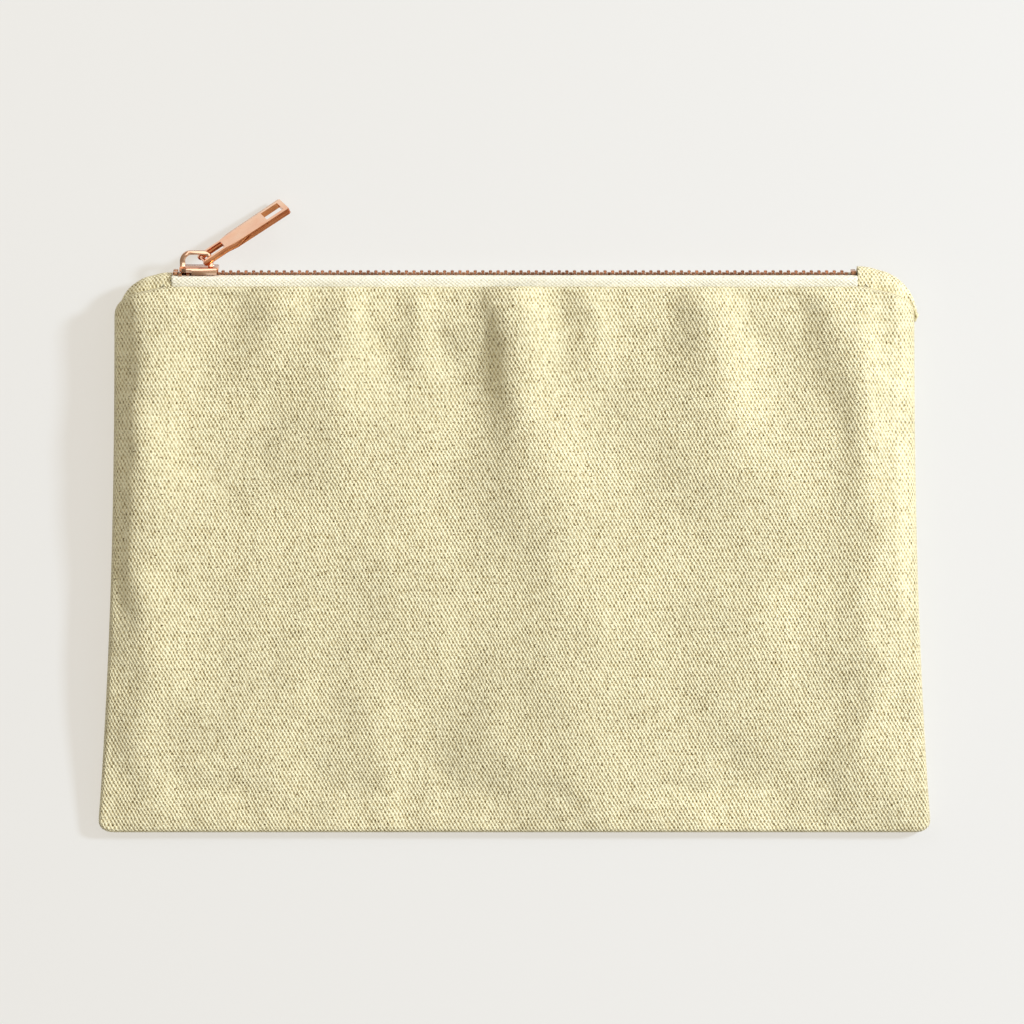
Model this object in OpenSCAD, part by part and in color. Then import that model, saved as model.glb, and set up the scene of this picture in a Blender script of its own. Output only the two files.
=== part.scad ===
// Flat canvas pouch with a metal zip along its top edge.
//
// The pouch lies on its back: X runs along the zip, Y points from the bottom
// seam to the zip and Z is up. The origin is the middle of the underside.
// Turned seam allowances and hems are drawn with their panel as one thickness.

/* [Pouch] */
// Width between the side seams at the zip
top_w = 230.8; // [200:0.1:260]
// Width of the bottom seam
bottom_w = 240.6; // [210:0.1:270]
// Height of the front panel, from the bottom seam to its folded top edge
panel_h = 157.2; // [120:0.1:190]
// How late the sides flare out towards the bottom
flare_power = 2.5; // [1.5:0.1:4]
// Thickness of the lying pouch at its fullest
puff = 14.4; // [13.5:0.1:15]
// Height of the fullest line, measured along Y from the middle of the pouch
fullest_y = 60; // [50:1:70]
// Thickness of the four layers at the side and bottom seams
seam_t = 4.2; // [4:0.1:5]
// Width of the turned seam allowances and of the top hem
allowance = 10; // [6:0.5:12]

/* [Cloth] */
// Canvas thickness
canvas_t = 0.9; // [0.6:0.05:1]
// Lining thickness
lining_t = 0.35; // [0.2:0.05:0.5]
// Zip tape thickness
tape_t = 0.45; // [0.3:0.05:0.5]
// Sewing thread diameter
thread_d = 0.26; // [0.15:0.01:0.28]

/* [Zip] */
// Length of zip between the two end tabs
zip_l = 197.2; // [150:0.1:200]
// Distance between the teeth on one tape
pitch = 2.2; // [2:0.1:3]
// Tooth height, across the tape's plane
tooth_h = 2; // [1.6:0.1:2.1]
// Half the width of the closed chain
chain_hw = 2.3; // [2:0.1:2.4]
// Tilt of the zip towards the front panel, in degrees
zip_tilt = 12; // [0:1:14]
// Length of the slider
slider_l = 11.2; // [10:0.1:12]
// Distance from the left end tab to the slider's nose
slider_gap = 2.3; // [2:0.1:4]

/* [Pull tab] */
// Length from the cross bar to the far end
pull_l = 28.4; // [24:0.1:34]
// Width at the cross bar
pull_near_w = 5.3; // [5.1:0.1:5.4]
// Width at the far end
pull_far_w = 7.4; // [6.6:0.1:7.8]
// Plate thickness
pull_t = 1.8; // [1.4:0.1:1.9]
// Angle between the pull tab and the zip, in degrees
pull_angle = 32; // [22:1:60]
// Dip of the far end towards the table, in degrees
pull_dip = 15; // [0:1:16]
// Roll about the pull tab's own length, in degrees
pull_roll = 25; // [0:1:26]

/* [Hidden] */

eps = 0.01;
gap = 0.1;
big = 300;
arc_fn = 1440;
round_fn = 96;
pin_fn = 48;
thread_fn = 16;
tape_fn = 24;

canvas_colour = [0.86, 0.83, 0.68];
lining_colour = [0.93, 0.91, 0.84];
tape_colour = [0.96, 0.95, 0.88];
thread_colour = [0.9, 0.88, 0.76];
metal_colour = [0.85, 0.55, 0.42];

// Outline: the bottom seam, the fold at the top of the panels, the corners
fold_y = 76.2;
bottom_y = fold_y - panel_h;
corner_r = 2.5;
shoulder_w = 14;
shoulder_h = 6.4;
side_steps = 12;

// Seams: the back's two layers, the thread's gap, the front's two layers
back_rim_t = 2 * canvas_t + gap;
front_rim_z = seam_t - 2 * canvas_t - gap;

// Puffed front: one arc from the bottom seam over the fullest line to the
// zip, and one at each side from the seam up to the flat middle. The first
// ends a little above the seam and the second a little above the fullest
// line, so the two cross cleanly
rim_step = 0.15;
side_over = 0.3;
rise = puff - seam_t - rim_step;
length_run = fullest_y - bottom_y;
length_r = (length_run * length_run + rise * rise) / (2 * rise);
flat_hw = 102;
rim_hw = 113;
side_top = puff + side_over;
side_rise = side_top - seam_t;
side_run = rim_hw - flat_hw;
side_r = (side_run * side_run + side_rise * side_rise) / (2 * side_rise);

// Zip: the chain's middle, and the slot through the slider's flanges
chain_y = 79.8;
chain_z = 8;
zip_hl = zip_l / 2;
tooth_t = pitch / 2 - 0.15;
stop_l = 1.4;
tape_edge_w = 1.3;
tape_out_w = 4.55;
tape_drop = 3.1;
tape_hem_y = fold_y - allowance - 1.5;
tape_fold_y = fold_y - 0.8;
hem_gap = 0.35;
hem_z = puff_z(fold_y) - 2 * canvas_t - hem_gap - tape_t / 2;
hem_low_z = puff_z(tape_hem_y) - 2 * canvas_t - hem_gap - tape_t / 2;
back_hem_z = back_rim_t + hem_gap + tape_t / 2;

// Teeth: a clamp round the tape's edge and a narrower head across the middle
tooth_grip = 0.35;
tooth_head = 0.75;
head_share = 0.64;
tape_groove = 0.6;
groove_w0 = tape_edge_w - 0.05;
first_tooth = -zip_hl + stop_l + 1.2;
last_tooth = zip_hl - stop_l - 1;
parting_step = 0.87;
parting_slope = 0.72;
parting_most = 1.85;

// Stops: a clip on each tape ahead of the teeth, and one across both behind
stop_inset = 0.4;
stop_hn = 1.2;
stop_grip = 0.5;
stop_w = 2.1;
bottom_stop_hn = 1.3;
bottom_stop_hw = 2;

// End tabs: canvas caps over the ends of the zip
tab_top = puff_z(fold_y) - 2 * canvas_t - 3 * gap;
tab_bottom = back_rim_t + gap;
tab_r = (tab_top - tab_bottom) / 2;
left_nose_y = 80.3;
right_nose_y = 82;
tab_low_y = fold_y - allowance;
tab_reach = top_w / 2 - 0.8 - zip_hl;
tab_power = 0.8;

// Threads: in the seams, between each hem and its tape, and in the tabs
seam_thread_z = (back_rim_t + front_rim_z) / 2;
seam_inset = 1.5;
seam_end = 4;
zip_thread_y = fold_y - 6;
front_thread_z = puff_z(zip_thread_y) - 2 * canvas_t - hem_gap / 2;
back_thread_z = back_rim_t + hem_gap / 2;
tab_thread_x = zip_hl + 1.2;
tab_thread_z = tab_bottom + canvas_t + 0.2;

// Slider: its middle, its cavity, blades and flanges, and its wire bail
slider_x = -zip_hl + slider_gap + slider_l / 2;
cavity_h = tooth_h / 2 + 0.25;
blade_t = 1.15;
blade_top = cavity_h + blade_t;
slot_h = 0.5;
flange_in = chain_hw + 0.35;
flange_out = 3.8;
flange_from = -2;
flange_to = slider_l / 2 - 0.4;
nose_hw = 4;
nose_tip_hw = 2.2;
tail_hw = 3.2;
wedge_tip = -2.95;
wedge_hw = 0.95;
wedge_l = 1.35;
wedge_root_x = -slider_l / 2 + 0.4;
wedge_root_hw = 0.6;
parting_from = wedge_tip + tooth_t / 2;
bail_t = 1.4;
bail_wire = 1.1;
bar_x = 1.2;
bar_y = blade_top + 2.1;
bar_r = 0.55;
bail_clear = 1.4;
bail_left = -4;
bail_leg = 1.5;
bail_foot = 0.3;
bail_outer_r = 3;
bail_inner_r = 2;

// Pull tab: the loop round the bail and the slot at the far end
loop_l = 7;
taper_l = 3;
far_chamfer = 0.5;
loop_hw = 1.8;
far_slot_l = 5.6;
far_slot_hw = 2.3;
far_bar = 1.4;
pull_shift = 0.3;
groove_w = 0.5;
groove_d = 0.2;

function side_x(y) =
  top_w / 2 + (bottom_w - top_w) / 2 * pow(max(fold_y - y, 0) / panel_h, flare_power);

function puff_z(y) =
  puff - length_r + sqrt(length_r * length_r - (y - fullest_y) * (y - fullest_y));

// Right half of the outline, drawn in by d at the sides and the bottom
function half_outline(d) = concat(
  [for (a = [0:30:90])
    let (x = side_x(bottom_y) - d - corner_r * (1 - sin(a)))
    [x, bottom_y + d + corner_r * (1 - cos(a))]],
  [for (i = [1:side_steps])
    let (y = bottom_y + corner_r + (panel_h - corner_r - shoulder_h) * i / (side_steps + 1))
    [side_x(y) - d, y]],
  [for (a = [0:15:90])
    let (x = side_x(fold_y) - d - shoulder_w * (1 - cos(a)))
    [x, fold_y - shoulder_h * (1 - sin(a))]]
);

function mirrored(points) =
  [for (i = [len(points) - 1:-1:0]) [-points[i][0], points[i][1]]];

module outline(d) {
  right = half_outline(d);
  polygon(concat(right, mirrored(right)));
}

// A Y-Z profile drawn out along X, and an X-Z profile drawn out along Y
module along_x(x0, x1) {
  translate([x0, 0, 0]) rotate([90, 0, 90]) linear_extrude(x1 - x0) children();
}

module along_y(y0, y1) {
  translate([0, y1, 0]) rotate([90, 0, 0]) linear_extrude(y1 - y0) children();
}

module length_profile(skin) {
  intersection() {
    translate([fullest_y, puff - length_r]) circle(r = length_r - skin, $fn = arc_fn);
    translate([-big / 2, 0]) square([big, puff]);
  }
}

module width_profile(skin) {
  translate([-big / 2, 0]) square([big, seam_t - skin]);
  translate([-flat_hw, 0]) square([2 * flat_hw, side_top - skin]);
  intersection() {
    for (side = [-1, 1])
      translate([side * flat_hw, side_top - side_r]) circle(r = side_r - skin, $fn = arc_fn);
    translate([-big / 2, 0]) square([big, side_top]);
  }
}

// The space under the puffed front: skin below its surface, d inside its
// outline, from z0 up and from y0 to y1
module puffed(skin, d, z0, y0 = -big / 2, y1 = big / 2) {
  intersection() {
    translate([0, 0, z0]) linear_extrude(puff) outline(d);
    along_x(-big / 2, big / 2) length_profile(skin);
    along_y(y0, y1) width_profile(skin);
  }
}

// The same under the hem, open at the zip: d is measured from the side seams
module hem_space(d, z0) {
  hem_y = fold_y - allowance - eps;
  intersection() {
    translate([-top_w / 2 + d, hem_y, z0]) cube([top_w - 2 * d, big, puff]);
    along_x(-big / 2, big / 2) length_profile(2 * canvas_t);
    along_y(hem_y, big) width_profile(2 * canvas_t);
  }
}

module front_panel() {
  color(canvas_colour)
  difference() {
    puffed(0, 0, front_rim_z);
    puffed(canvas_t, canvas_t, seam_t, y1 = fold_y - allowance);
    puffed(canvas_t, allowance, 0, y1 = fold_y - allowance);
    hem_space(canvas_t, seam_t);
    hem_space(allowance, 0);
  }
}

module back_panel() {
  color(canvas_colour)
  difference() {
    linear_extrude(back_rim_t) outline(0);
    translate([0, 0, canvas_t]) linear_extrude(back_rim_t)
    intersection() {
      outline(allowance);
      translate([-big / 2, -big]) square([big, big + fold_y - allowance]);
    }
  }
}

module front_lining() {
  color(lining_colour)
  difference() {
    puffed(
      canvas_t + 3 * gap, allowance + 3 * gap, canvas_t + 5 * gap + lining_t,
      y1 = tape_hem_y - 3 * gap
    );
    puffed(canvas_t + 3 * gap + lining_t, allowance + 3 * gap + lining_t, 0);
  }
}

module back_lining() {
  color(lining_colour)
  translate([0, 0, canvas_t + 2 * gap]) linear_extrude(lining_t)
  intersection() {
    outline(allowance + 3 * gap);
    translate([-big / 2, -big]) square([big, big + fold_y - allowance - 3 * gap]);
  }
}

// End tab: a canvas cap over one end of the zip, sloping down to the corner.
// The space inside it runs on through its open sides.
module tab_space(skin, nose_y) {
  open = skin > 0 ? 1 : 0;
  nose_run = nose_y + eps - skin - tab_low_y;
  intersection() {
    along_x(zip_hl - open, top_w / 2) {
      translate([nose_y - tab_r, tab_bottom + tab_r]) circle(r = tab_r - skin, $fn = arc_fn);
      translate([tab_low_y - open, tab_bottom + skin])
        square([nose_y - tab_r - tab_low_y + open, 2 * (tab_r - skin)]);
    }
    along_y(0, 100) width_profile(2 * canvas_t + 3 * gap + skin);
    linear_extrude(puff)
    polygon(concat(
      [[zip_hl - 5, tab_low_y - 5], [zip_hl + tab_reach - skin, tab_low_y - 5]],
      [for (a = [0:10:90])
        [zip_hl + (tab_reach - skin) * cos(a), tab_low_y + nose_run * pow(sin(a), tab_power)]],
      [[zip_hl - 5, tab_low_y + nose_run]]
    ));
  }
}

module end_tab(nose_y) {
  color(canvas_colour)
  difference() {
    tab_space(0, nose_y);
    tab_space(canvas_t, nose_y);
    linear_extrude(seam_t + gap)
    difference() {
      outline(-3 * gap);
      translate([-top_w / 2 + allowance + gap, -big])
        square([top_w - 2 * (allowance + gap), 2 * big]);
    }
  }
}

module left_end_tab() {
  mirror([1, 0, 0]) end_tab(left_nose_y);
}

module right_end_tab() {
  end_tab(right_nose_y);
}

// Things placed on the chain: local X along it, Y out of the pouch and Z
// towards the front panel
module on_chain(x) {
  translate([x, chain_y, chain_z]) rotate([zip_tilt, 0, 0]) children();
}

// One straight stretch of a strip's profile, with round ends
module strip(a, b, t) {
  run = b - a;
  translate(a) rotate(atan2(run[1], run[0])) translate([0, -t / 2]) square([norm(run), t]);
  for (p = [a, b]) translate(p) circle(d = t, $fn = tape_fn);
}

function chain_point(n, w) = [
  chain_y + n * cos(zip_tilt) - w * sin(zip_tilt),
  chain_z + n * sin(zip_tilt) + w * cos(zip_tilt)
];

module tape(route) {
  color(tape_colour)
  along_x(-zip_hl + gap, zip_hl - gap)
  for (i = [0:len(route) - 2]) strip(route[i], route[i + 1], tape_t);
}

module front_zip_tape() {
  tape([
    chain_point(0, tape_edge_w + tape_t / 2), chain_point(0, tape_out_w),
    chain_point(-tape_drop, tape_out_w), [tape_fold_y, hem_z], [tape_hem_y, hem_low_z]
  ]);
}

module back_zip_tape() {
  tape([
    chain_point(0, -tape_edge_w - tape_t / 2), chain_point(0, -tape_out_w),
    chain_point(-tape_drop, -tape_out_w), [tape_fold_y, back_hem_z], [tape_hem_y, back_hem_z]
  ]);
}

// How far a tooth is moved aside, x behind the slider's middle: the rows are
// closed up to the flanges and then pass the wedge, tooth by tooth
function parting(x) =
  x > parting_from ? 0 : min(parting_step + (parting_from - x) * parting_slope, parting_most);

module tooth() {
  grip_w = tape_edge_w - tooth_grip;
  translate([-tooth_t / 2, -tooth_h / 2, grip_w]) cube([tooth_t, tooth_h, chain_hw - grip_w]);
  translate([-tooth_t / 2, -tooth_h * head_share / 2, -tooth_head])
    cube([tooth_t, tooth_h * head_share, tooth_head + tape_edge_w]);
}

// A row of teeth on the front tape. The groove in them holds the tape's edge.
module teeth(first) {
  color(metal_colour)
  difference() {
    for (x = [first:pitch:last_tooth]) translate([x, 0, parting(x - slider_x)]) tooth();
    translate([-zip_hl, -tape_groove / 2, groove_w0]) cube([2 * zip_hl, tape_groove, big]);
  }
}

module front_teeth() {
  on_chain(0) teeth(first_tooth);
}

module back_teeth() {
  on_chain(0) mirror([0, 0, 1]) teeth(first_tooth + pitch / 2);
}

// Top stop: a metal clip folded round the edge of the front tape
module top_stop() {
  color(metal_colour)
  difference() {
    translate([0, -stop_hn, tape_edge_w - stop_grip]) cube([stop_l, 2 * stop_hn, stop_w]);
    translate([-1, -tape_groove / 2, groove_w0]) cube([stop_l + 2, tape_groove, big]);
  }
}

module front_top_stop() {
  on_chain(-zip_hl + stop_inset) top_stop();
}

module back_top_stop() {
  on_chain(-zip_hl + stop_inset) mirror([0, 0, 1]) top_stop();
}

module bottom_stop() {
  color(metal_colour)
  on_chain(zip_hl - stop_inset - stop_l)
  difference() {
    translate([0, -bottom_stop_hn, -bottom_stop_hw])
      cube([stop_l, 2 * bottom_stop_hn, 2 * bottom_stop_hw]);
    for (front = [0, 1])
      mirror([0, 0, front])
      translate([-1, -tape_groove / 2, groove_w0]) cube([stop_l + 2, tape_groove, big]);
  }
}

// A run of thread through a list of points
module thread(points) {
  color(thread_colour)
  for (i = [0:len(points) - 2]) {
    run = points[i + 1] - points[i];
    translate(points[i])
    rotate([0, acos(run[2] / norm(run)), atan2(run[1], run[0])])
    cylinder(d = thread_d, h = norm(run) - eps, $fn = thread_fn);
  }
}

// A straight thread along the zip, from tab to tab
module zip_thread(y, z) {
  thread([[-zip_hl + 1, y, z], [zip_hl - 1, y, z]]);
}

function side_line(side) = [
  for (i = [0:8])
    let (y = bottom_y + seam_end + (panel_h - seam_end - allowance) * i / 8)
    [side * (side_x(y) - seam_inset), y, seam_thread_z]
];

module left_seam_thread() {
  thread(side_line(-1));
}

module right_seam_thread() {
  thread(side_line(1));
}

module bottom_seam_thread() {
  thread([
    for (side = [-1, 1])
      [side * (bottom_w / 2 - seam_end), bottom_y + seam_inset, seam_thread_z]
  ]);
}

module front_zip_thread() {
  zip_thread(zip_thread_y, front_thread_z);
}

module back_zip_thread() {
  zip_thread(zip_thread_y, back_thread_z);
}

// The thread that closes an end tab lies along its inner edge, inside the cap
module tab_thread(side) {
  thread([
    for (y = [tab_low_y + 2, left_nose_y - tab_r])
      [side * tab_thread_x, y, tab_thread_z]
  ]);
}

module left_tab_thread() {
  tab_thread(-1);
}

module right_tab_thread() {
  tab_thread(1);
}

// Slider, seen from above: a shield with its nose to the left
module blade_2d() {
  nose = -slider_l / 2;
  upper = [
    [nose, nose_tip_hw], [nose + 0.7, nose_hw - 0.5], [nose + 2, nose_hw],
    [flange_from, flange_out], [flange_to, flange_out], [slider_l / 2, tail_hw]
  ];
  polygon(concat(upper, [for (i = [len(upper) - 1:-1:0]) [upper[i][0], -upper[i][1]]]));
}

module blade() {
  translate([0, cavity_h, 0]) rotate([-90, 0, 0]) linear_extrude(blade_t) blade_2d();
  for (side = [-1, 1])
    translate([flange_from, slot_h, side > 0 ? flange_in : -flange_out])
      cube([flange_to - flange_from, cavity_h - slot_h + eps, flange_out - flange_in]);
}

module wedge() {
  heel = wedge_tip - wedge_l;
  translate([0, -cavity_h - eps, 0]) rotate([-90, 0, 0]) linear_extrude(2 * (cavity_h + eps))
    polygon([
      [wedge_tip, 0], [heel, wedge_hw], [wedge_root_x, wedge_root_hw],
      [wedge_root_x, -wedge_root_hw], [heel, -wedge_hw]
    ]);
}

// The bail's outside: an arch with round shoulders, standing in the blade
module bail_outside(left, right, top) {
  r = bail_outer_r;
  translate([left, blade_top - bail_foot])
    square([right - left, top - blade_top + bail_foot - r]);
  translate([left + r, blade_top]) square([right - left - 2 * r, top - blade_top]);
  for (x = [left + r, right - r]) translate([x, top - r]) circle(r = r, $fn = round_fn);
}

// The bail's opening, whose tail corner is round about the cross bar
module bail_inside(right, top) {
  r = bail_inner_r;
  translate([bar_x, bar_y]) circle(r = bail_clear, $fn = round_fn);
  translate([bail_left + r, top - r]) circle(r = r, $fn = round_fn);
  translate([bail_left, blade_top]) square([right - bail_left, bar_y - blade_top]);
  translate([bail_left + r, blade_top]) square([bar_x - bail_left - r, top - blade_top]);
  translate([bail_left, blade_top]) square([r + 1, top - r - blade_top]);
}

module bail() {
  top = bar_y + bail_clear;
  right = bar_x + bail_clear;
  translate([0, 0, -bail_t / 2]) linear_extrude(bail_t)
  difference() {
    bail_outside(bail_left - bail_leg, right + bail_leg, top + bail_wire);
    bail_inside(right, top);
  }
}

module slider_body() {
  color(metal_colour)
  on_chain(slider_x) {
    blade();
    mirror([0, 1, 0]) blade();
    wedge();
    bail();
  }
}

// Pull tab, lying flat: X along it from the cross bar, Y across, Z through
module pull_2d() {
  near = pull_near_w / 2;
  far = pull_far_w / 2;
  upper = [
    [0, near], [loop_l, near], [loop_l + taper_l, far - groove_d - 0.1],
    [pull_l - far_chamfer, far], [pull_l, far - far_chamfer]
  ];
  difference() {
    polygon(concat(upper, [for (i = [len(upper) - 1:-1:0]) [upper[i][0], -upper[i][1]]]));
    translate([-1, -loop_hw]) square([loop_l + 1, 2 * loop_hw]);
    translate([pull_l - far_bar - far_slot_l, -far_slot_hw]) square([far_slot_l, 2 * far_slot_hw]);
  }
}

// The plate with a groove along each edge, and the bar that turns in the bail
module pull_flat() {
  near = pull_near_w / 2;
  groove_y = pull_far_w / 2 - groove_d;
  difference() {
    translate([0, 0, -pull_t / 2]) linear_extrude(pull_t) pull_2d();
    for (side = [0, 1])
      mirror([0, side, 0])
      translate([loop_l + taper_l, groove_y, -groove_w / 2]) cube([pull_l, 1, groove_w]);
  }
  for (side = [0, 1])
    mirror([0, side, 0])
    translate([0, loop_hw, 0]) rotate([-90, 0, 0])
    cylinder(r = pull_t / 2, h = near - loop_hw, $fn = pin_fn);
  translate([0, -loop_hw - eps, 0]) rotate([-90, 0, 0])
    cylinder(r = bar_r, h = 2 * (loop_hw + eps), $fn = pin_fn);
}

module pull_tab() {
  color(metal_colour)
  on_chain(slider_x)
  translate([bar_x, bar_y, 0])
  rotate([0, 0, pull_angle]) rotate([0, pull_dip, 0]) rotate([90 + pull_roll, 0, 0])
  translate([0, pull_shift, 0]) pull_flat();
}

front_panel();
back_panel();
front_lining();
back_lining();
left_end_tab();
right_end_tab();
front_zip_tape();
back_zip_tape();
front_teeth();
back_teeth();
front_top_stop();
back_top_stop();
bottom_stop();
left_seam_thread();
right_seam_thread();
bottom_seam_thread();
front_zip_thread();
back_zip_thread();
left_tab_thread();
right_tab_thread();
slider_body();
pull_tab();
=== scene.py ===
# %% [markdown]
# # A flat canvas pouch with a metal zip
# The pouch lies on its back on a pale table. This first step brings in the
# measured frame: every part as a plain solid, in its true place and size. The
# looks are built around it, and the two have to stay the same size.

# %% Load the frame
import math

import bmesh
import bpy
from mathutils import Matrix, Vector, noise


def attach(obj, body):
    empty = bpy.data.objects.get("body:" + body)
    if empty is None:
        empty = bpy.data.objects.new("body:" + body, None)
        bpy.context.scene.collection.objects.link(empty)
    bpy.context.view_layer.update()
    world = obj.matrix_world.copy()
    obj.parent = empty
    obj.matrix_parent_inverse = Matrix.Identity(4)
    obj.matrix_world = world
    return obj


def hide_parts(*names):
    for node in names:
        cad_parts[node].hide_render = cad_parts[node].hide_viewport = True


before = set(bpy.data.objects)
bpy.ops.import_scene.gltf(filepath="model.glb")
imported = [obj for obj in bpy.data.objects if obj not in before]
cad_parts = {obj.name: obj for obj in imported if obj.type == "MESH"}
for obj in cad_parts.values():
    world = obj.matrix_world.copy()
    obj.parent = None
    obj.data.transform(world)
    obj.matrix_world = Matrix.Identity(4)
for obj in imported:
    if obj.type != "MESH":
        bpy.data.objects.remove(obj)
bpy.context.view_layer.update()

MM = 0.001

# %% [markdown]
# ## Sizes of the pouch
# All of these are millimetres. X runs along the zip, Y points from the bottom
# seam to the zip and Z is up from the table. The sides flare a little towards
# the bottom, the bottom corners are nearly square, and the two upper corners
# are round shoulders where the panel turns down to the zip's ends.

# %% Outline of the panels
TOP_HALF = 115.4
FLARE = 4.9
FOLD_Y = 76.2
BOTTOM_Y = -81.0
PANEL_H = FOLD_Y - BOTTOM_Y
SHOULDER_W = 14.0
SHOULDER_H = 6.4
CORNER_R = 1.8
SEAM_Z = 2.1
CANVAS_T = 0.85


def side_x(y):
    return TOP_HALF + FLARE * (max(FOLD_Y - y, 0) / PANEL_H) ** 2.5


def half_width(y):
    """Half the width of the pouch at a height y, its round corners included."""
    if y > FOLD_Y - SHOULDER_H:
        rise = min((y - FOLD_Y + SHOULDER_H) / SHOULDER_H, 1)
        return TOP_HALF - SHOULDER_W * (1 - math.sqrt(1 - rise * rise))
    if y < BOTTOM_Y + CORNER_R:
        fall = 1 - (y - BOTTOM_Y) / CORNER_R
        return side_x(y) - CORNER_R * (1 - math.sqrt(max(1 - fall * fall, 0)))
    return side_x(y)


print("width at the zip and at the bottom:", 2 * half_width(60), 2 * side_x(BOTTOM_Y))

# %% [markdown]
# ## How full the pouch lies
# An empty pouch is never quite flat: the zip and the folded hem hold the mouth
# up, and the front slopes from there to the bottom seam and the side seams. One
# arc gives the slope along Y and another the fall to each side, and a soft
# minimum joins them without a crease. The arcs cross a little clear of each
# other, so the slope ends RIM_STEP above the seam and the sides start SIDE_OVER
# above the fullest line.

# %% Height of the front panel
PUFF = 14.4
FULLEST_Y = 60.0
RIM_Z = 4.2
FLAT_HALF = 106.0
RIM_HALF = 113.0
RIM_STEP = 0.15
SIDE_OVER = 0.3
BLEND = 1.2


def arc_through(run, drop):
    """Radius of the arc that falls by drop over a run."""
    return (run * run + drop * drop) / (2 * drop)


LENGTH_R = arc_through(FULLEST_Y - BOTTOM_Y, PUFF - RIM_Z - RIM_STEP)
SIDE_R = arc_through(RIM_HALF - FLAT_HALF, PUFF + SIDE_OVER - RIM_Z)


def soft_min(a, b):
    gap = max(BLEND - abs(a - b), 0) / BLEND
    return min(a, b) - gap * gap * BLEND / 4


def puff_z(x, y):
    along = PUFF - LENGTH_R + math.sqrt(LENGTH_R**2 - (y - FULLEST_Y) ** 2)
    out = min(max(abs(x) - FLAT_HALF, 0), RIM_HALF - FLAT_HALF)
    across = PUFF + SIDE_OVER - SIDE_R + math.sqrt(SIDE_R**2 - out * out)
    return max(soft_min(along, across), RIM_Z)


print("height at the hem and at the bottom seam:", round(puff_z(0, FOLD_Y), 2), puff_z(0, BOTTOM_Y))

# %% [markdown]
# ## Where the cloth gathers
# The zip is sewn to the hem a little short, so the hem is eased onto it and the
# spare width stands up as soft ridges that fan out below the zip and fade. A
# ridge is a bell across and fades along its length. Between two ridges lies a
# hollow. Longer and wider ridges run down the panel and along its sides, where
# the two layers are sewn together. The hem is stiff, so it holds them down, and
# the hollows never sink into the hem or the zip tape.

# %% Ridges and hollows
RIDGES = []


def ridge(x, lean, length, height, half=8.0, start=FOLD_Y):
    """A soft ridge (or a hollow, with a negative height) that starts at x on the hem."""
    RIDGES.append((x, lean, length, height, half, start))


for place, lean, length, height in (
    (-96, 2, 36, 1.8),
    (-67, -6, 44, 2.9),
    (-47, -3, 46, 2.9),
    (-28, 1, 66, 3.6),
    (1, 3, 70, 4.0),
    (21, 3, 48, 2.7),
    (55, 12, 66, 3.7),
    (90, 12, 60, 3.6),
    (-57, -5, 40, -1.6),
    (-37, -1, 46, -1.9),
    (-14, 5, 66, -2.6),
    (11, 4, 50, -1.8),
    (38, 8, 60, -2.2),
    (74, 12, 60, -2.4),
):
    ridge(place, lean, length, height)
ridge(-2, 27, 165, 3.6, half=15)
ridge(100, 2, 230, 2.6, half=7)
ridge(-106, -3, 260, 2.2, half=12)
ridge(-60, 26, 130, 1.8, half=14)
ridge(52, 6, 190, 2.2, half=20)
SPREAD, FAN = 0.7, 0.9
FADE_POWER = 1.2
DISH = 2.2
DISH_HALF = 108.0
DISH_RUN = 30.0
RUMPLE = 2.0
CRUMPLE = 0.45
SIDE_FADE = 9.0
BOTTOM_FADE = 12.0
HEM_STIFF = 0.3
HEM_FADE = 6.0
HEM_DEPTH = 11.0
HIGHEST = 4.4
HEM_SINK = 0.25
SINK_SLOPE = 0.3


def gather(x, y):
    """How far the gathers lift or lower the cloth at a point."""
    lift = 0
    for x0, lean, length, height, half, start in RIDGES:
        down = (start - y) / length
        if down < -0.05 or down > 1:
            continue
        middle = x0 + lean * down
        spread = half * (SPREAD + FAN * down)
        across = (x - middle) / spread
        lift += height * (1 - down) ** FADE_POWER * math.exp(-across * across)
    lift *= HEM_STIFF + (1 - HEM_STIFF) * min(max(FOLD_Y - y, 0) / HEM_FADE, 1)
    dish = DISH * (1 - min((x / DISH_HALF) ** 4, 1)) * min((FOLD_Y - y) / DISH_RUN, 1)
    rumple = RUMPLE * noise.noise(Vector((x / 34, y / 46, 3.1)))
    crumple = CRUMPLE * noise.noise(Vector((x / 11, y / 15, 7.7)))
    edge = min(max((half_width(y) - abs(x)) / SIDE_FADE, 0), 1)
    edge *= min((y - BOTTOM_Y) / BOTTOM_FADE, 1)
    deepest = HEM_SINK + SINK_SLOPE * max(FOLD_Y - y - HEM_DEPTH, 0)
    total = lift - dish + rumple + crumple
    if total > 0:
        total = HIGHEST * math.tanh(total / HIGHEST)
    return max(total, -deepest) * max(edge, 0)


highest = max(gather(x, 60) for x in range(-100, 101, 2))
print("ridges and hollows:", len(RIDGES), "highest lift, mm:", round(highest, 2))

# %% [markdown]
# ## Helpers for new pieces
# Every new piece starts as a bmesh and becomes an object at the origin, with
# its place in its own mesh. It rides on one of the three bodies, so it moves
# with the slider or the pull tab where it should.


# %% Making a piece
def make_piece(name, bm, body="pouch", smooth=True):
    for vert in bm.verts:
        vert.co *= MM
    mesh = bpy.data.meshes.new(name)
    bm.to_mesh(mesh)
    bm.free()
    for face in mesh.polygons:
        face.use_smooth = smooth
    piece = bpy.data.objects.new(name, mesh)
    bpy.context.scene.collection.objects.link(piece)
    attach(piece, body)
    return piece


def apply_modifiers(piece):
    """Turns a piece's modifiers into its own mesh."""
    seen = piece.evaluated_get(bpy.context.evaluated_depsgraph_get())
    mesh = bpy.data.meshes.new_from_object(seen)
    piece.modifiers.clear()
    old, piece.data = piece.data, mesh
    bpy.data.meshes.remove(old)
    mesh.name = piece.name


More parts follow.
